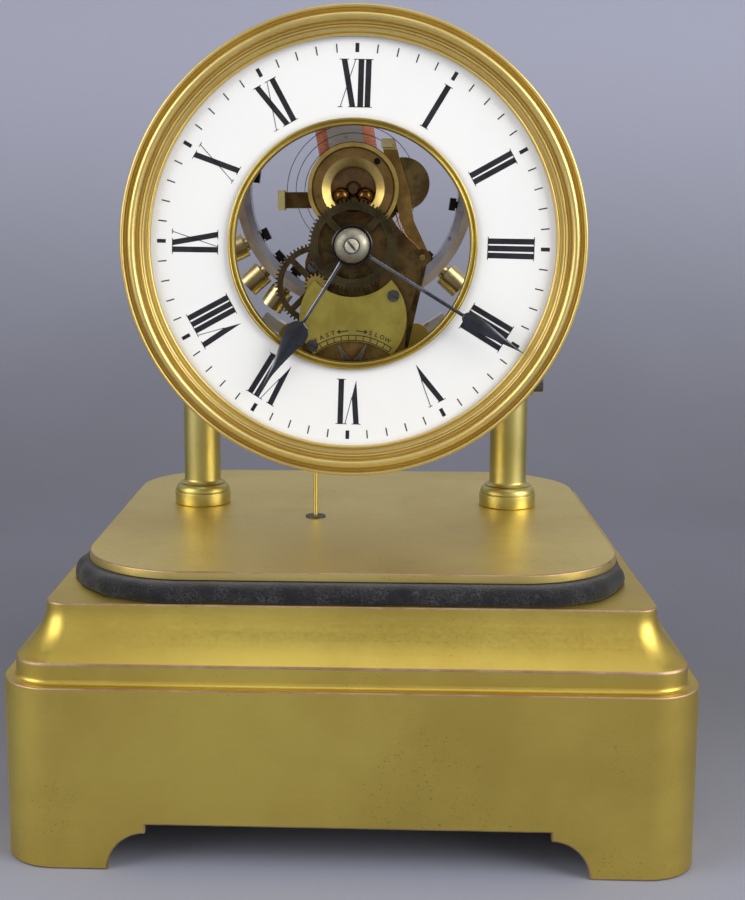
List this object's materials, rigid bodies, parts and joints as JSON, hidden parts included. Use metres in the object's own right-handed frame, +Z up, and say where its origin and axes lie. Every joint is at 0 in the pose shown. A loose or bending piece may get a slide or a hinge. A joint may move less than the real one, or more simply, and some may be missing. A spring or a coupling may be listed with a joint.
{
  "type": "electric clock",
  "caption": "Electric mantel clock with an open enamel dial, a large compensated electromagnet balance and a stepped brass base.",
  "frame": {"origin": "middle of the base at the height of its feet", "axes": "+X to the right of the dial, the dial faces -Y, +Z up"},
  "size_m": [0.2286, 0.2286, 0.2812],
  "materials": {
    "base_brass": "satin lacquered brass",
    "bright_brass": "turned and lacquered brass",
    "dark_brass": "aged brass with brown tarnish",
    "name_brass": "bright lacquered brass sheet",
    "steel": "polished steel",
    "iron": "soft iron, satin",
    "blued_steel": "blued steel",
    "screw_steel": "dark steel screws",
    "ball_steel": "polished ball steel",
    "enamel": "white fired enamel",
    "silk": "red silk covered copper wire",
    "velvet": "charcoal velvet",
    "riser_wood": "plain hardwood",
    "ebonite": "black ebonite",
    "cell_paper": "waxed card sleeve",
    "copper": "bare copper wire"
  },
  "bodies": {
    "clock_base": {"plinth_box": "base_brass", "plinth_cove": "base_brass", "plinth_screws": "screw_steel", "seat_riser": "riser_wood", "velvet_seat": "velvet", "platform": "base_brass", "left_pillar": "bright_brass", "right_pillar": "bright_brass", "pillar_bolts": "screw_steel", "feed_bush": "ebonite", "feed_rod": "bright_brass", "dry_cell": "cell_paper", "cell_terminals": "bright_brass", "cell_straps": "dark_brass", "frame_bridge": "base_brass", "bridge_screws": "blued_steel", "side_screw": "dark_brass", "front_plate": "dark_brass", "back_plate": "dark_brass", "plate_screws": "blued_steel", "train_bridge": "dark_brass", "train_posts": "dark_brass", "front_cup": "bright_brass", "rear_cup": "bright_brass", "armature": "iron", "armature_posts": "base_brass", "stud_bracket": "dark_brass", "contact_disc": "dark_brass", "lead_wire": "copper", "regulator_plate": "name_brass", "scale_plate": "dark_brass", "regulator_posts": "steel", "bezel": "bright_brass", "enamel_dial": "enamel", "sight_ring": "name_brass", "dial_backing": "dark_brass", "dial_feet": "base_brass"},
    "balance": {"balance_staff": "steel", "magnet_core": "iron", "magnet_windings": "silk", "rim_steel": "steel", "rim_brass": "dark_brass", "timing_weights": "bright_brass", "hairspring": "blued_steel"},
    "ball_front_left": {"front_ball_left": "ball_steel"},
    "ball_front_right": {"front_ball_right": "ball_steel"},
    "ball_rear_left": {"rear_ball_left": "ball_steel"},
    "ball_rear_right": {"rear_ball_right": "ball_steel"},
    "lever": {"pawl_lever": "dark_brass"},
    "ratchet": {"ratchet_wheel": "dark_brass"},
    "transfer": {"transfer_wheel": "dark_brass"},
    "minute_arbor": {"centre_wheel": "dark_brass", "cannon_pinion": "steel", "minute_hand": "blued_steel", "hand_collet": "steel"},
    "minute_wheel_body": {"minute_wheel": "dark_brass"},
    "hour_body": {"hour_wheel": "dark_brass", "hour_hand": "blued_steel"},
    "contact": {"contact_spring": "bright_brass"},
    "regulator": {"regulator_pointer": "steel"}
  },
  "joints": [
    {"name": "balance_swing", "type": "hinge", "parent": "clock_base", "child": "balance", "pos_m": [0, -0.008, 0.22075], "axis": [0, 1, 0], "range_deg": [-160, 160], "deforming": ["hairspring"]},
    {"name": "front_left_ball_roll", "type": "hinge", "parent": "clock_base", "child": "ball_front_left", "pos_m": [-0.0042, -0.0399, 0.21827], "axis": [0, 1, 0], "range_deg": [-90, 90]},
    {"name": "front_right_ball_roll", "type": "hinge", "parent": "clock_base", "child": "ball_front_right", "pos_m": [0.0042, -0.0399, 0.21827], "axis": [0, 1, 0], "range_deg": [-90, 90]},
    {"name": "rear_left_ball_roll", "type": "hinge", "parent": "clock_base", "child": "ball_rear_left", "pos_m": [-0.0042, 0.0059, 0.21827], "axis": [0, 1, 0], "range_deg": [-90, 90]},
    {"name": "rear_right_ball_roll", "type": "hinge", "parent": "clock_base", "child": "ball_rear_right", "pos_m": [0.0042, 0.0059, 0.21827], "axis": [0, 1, 0], "range_deg": [-90, 90]},
    {"name": "lever_rock", "type": "hinge", "parent": "clock_base", "child": "lever", "pos_m": [0.0246, -0.0347, 0.19675], "axis": [0, 1, 0], "range_deg": [-1, 1]},
    {"name": "ratchet_turn", "type": "hinge", "parent": "clock_base", "child": "ratchet", "pos_m": [0.00202, -0.0347, 0.17646], "axis": [0, 1, 0], "continuous": true},
    {"name": "transfer_turn", "type": "hinge", "parent": "clock_base", "child": "transfer", "pos_m": [0.00521, -0.037, 0.18802], "axis": [0, 1, 0], "continuous": true},
    {"name": "minute_turn", "type": "hinge", "parent": "clock_base", "child": "minute_arbor", "pos_m": [0, -0.066, 0.20145], "axis": [0, 1, 0], "continuous": true},
    {"name": "minute_wheel_turn", "type": "hinge", "parent": "clock_base", "child": "minute_wheel_body", "pos_m": [-0.01285, -0.045, 0.18718], "axis": [0, 1, 0], "continuous": true},
    {"name": "hour_turn", "type": "hinge", "parent": "clock_base", "child": "hour_body", "pos_m": [0, -0.048, 0.20145], "axis": [0, 1, 0], "continuous": true},
    {"name": "contact_flex", "type": "hinge", "parent": "clock_base", "child": "contact", "pos_m": [0.011, -0.0334, 0.2221], "axis": [0, 1, 0], "range_deg": [-1.5, 3]},
    {"name": "regulator_turn", "type": "hinge", "parent": "clock_base", "child": "regulator", "pos_m": [0, -0.0525, 0.14655], "axis": [0, 1, 0], "range_deg": [-18, 18]}
  ],
  "couplings": [
    {"joint": "front_left_ball_roll", "follows": "balance_swing", "ratio": -0.52598},
    {"joint": "front_right_ball_roll", "follows": "balance_swing", "ratio": -0.52598},
    {"joint": "rear_left_ball_roll", "follows": "balance_swing", "ratio": -0.52598},
    {"joint": "rear_right_ball_roll", "follows": "balance_swing", "ratio": -0.52598},
    {"joint": "transfer_turn", "follows": "minute_turn", "ratio": -5},
    {"joint": "ratchet_turn", "follows": "minute_turn", "ratio": 20},
    {"joint": "minute_wheel_turn", "follows": "minute_turn", "ratio": -0.33333},
    {"joint": "hour_turn", "follows": "minute_turn", "ratio": 0.083333}
  ]
}
